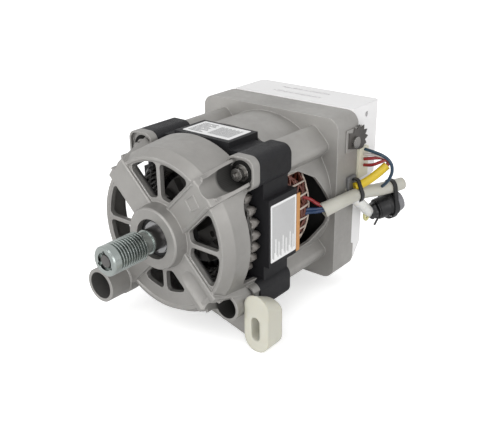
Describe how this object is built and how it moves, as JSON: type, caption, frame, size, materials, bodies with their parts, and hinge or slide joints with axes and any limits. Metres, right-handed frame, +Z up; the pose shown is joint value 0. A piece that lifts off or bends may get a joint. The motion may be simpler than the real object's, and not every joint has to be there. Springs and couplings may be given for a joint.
{
  "type": "washing machine motor",
  "caption": "Belt-drive washing machine motor with grooved pulley, cast end shields, laminated stator and a rear inverter housing.",
  "frame": {"origin": "on the shaft's axis, in the plane of the front hub's face", "axes": "+Y runs along the shaft from the pulley to the rear cover, the pulley points to -Y, and +Z is up, away from the mounting bushing"},
  "size_m": [0.1604, 0.2446, 0.147],
  "materials": {
    "cast_aluminium": "die-cast, fine grained, satin",
    "cast_rear": "die-cast, fine grained, satin",
    "black_lamination": "black lacquered steel laminations, satin",
    "rotor_steel": "bare electrical steel",
    "rotor_alloy": "cast, dull",
    "shaft_steel": "ground",
    "pulley_zinc": "zinc plated, bright",
    "bearing_steel": "polished",
    "seal_rubber": "matt black",
    "black_varnish": "varnished winding, black",
    "copper_enamel": "enamelled copper wire",
    "white_lacing": "polyester lacing cord",
    "orange_film": "insulation film",
    "bolt_steel": "zinc plated steel",
    "cream_nylon": "natural nylon",
    "white_plastic": "moulded, fine textured",
    "board_green": "coated circuit board",
    "component_black": "moulded",
    "magnet_dark": "coated magnet",
    "cream_plastic": "moulded",
    "cream_sleeve": "insulation sleeve",
    "yellow_plastic": "insulation sleeve",
    "navy_plastic": "wire insulation",
    "red_plastic": "wire insulation",
    "plug_black": "moulded",
    "grey_cap": "moulded"
  },
  "bodies": {
    "housing": {"front_end_shield": "cast_aluminium", "rear_end_shield": "cast_rear", "stator_core": "black_lamination", "slot_conductors": "copper_enamel", "front_winding": "black_varnish", "rear_winding": "copper_enamel", "rear_lacing_cord": "white_lacing", "insulation_flap": "orange_film", "thermal_protector": "component_black", "front_bearing_outer_ring": "bearing_steel", "front_bearing_seals": "seal_rubber", "rear_bearing_outer_ring": "bearing_steel", "rear_bearing_seals": "seal_rubber", "preload_spring": "bolt_steel", "speed_sensor": "component_black", "through_bolts": "bolt_steel", "bolt_washers": "bolt_steel", "nylon_bushing": "cream_nylon", "circuit_board": "board_green", "board_screws": "bolt_steel", "capacitors": "component_black", "filter_choke": "copper_enamel", "power_module": "component_black", "header_socket": "cream_plastic", "inverter_cover": "white_plastic", "cover_screws": "bolt_steel", "connector_housing": "cream_plastic", "ground_plate": "bolt_steel", "ground_screw": "bolt_steel", "main_sleeve": "cream_sleeve", "yellow_sleeve": "yellow_plastic", "navy_wire": "navy_plastic", "red_wires": "red_plastic", "round_plug": "plug_black", "plug_cap": "grey_cap", "cable_ties": "plug_black", "tie_clip": "cream_plastic"},
    "rotor": {"motor_shaft": "shaft_steel", "drive_pulley": "pulley_zinc", "rotor_core": "rotor_steel", "rotor_end_ring_front": "rotor_alloy", "rotor_end_ring_rear": "rotor_alloy", "front_bearing_inner_ring": "bearing_steel", "rear_bearing_inner_ring": "bearing_steel", "position_magnet": "magnet_dark", "shaft_snap_ring": "bearing_steel"},
    "front_ball_set": {"front_bearing_balls": "bearing_steel", "front_bearing_cage": "shaft_steel"},
    "rear_ball_set": {"rear_bearing_balls": "bearing_steel", "rear_bearing_cage": "shaft_steel"}
  },
  "joints": [
    {"name": "rotor_spin", "type": "hinge", "parent": "housing", "child": "rotor", "pos_m": [0, 0, 0], "axis": [0, -1, 0], "continuous": true},
    {"name": "front_ball_set_roll", "type": "hinge", "parent": "housing", "child": "front_ball_set", "pos_m": [0, 0.011, 0], "axis": [0, -1, 0], "continuous": true},
    {"name": "rear_ball_set_roll", "type": "hinge", "parent": "housing", "child": "rear_ball_set", "pos_m": [0, 0.125, 0], "axis": [0, -1, 0], "continuous": true}
  ],
  "couplings": [
    {"joint": "front_ball_set_roll", "follows": "rotor_spin", "ratio": 0.382},
    {"joint": "rear_ball_set_roll", "follows": "rotor_spin", "ratio": 0.38}
  ]
}
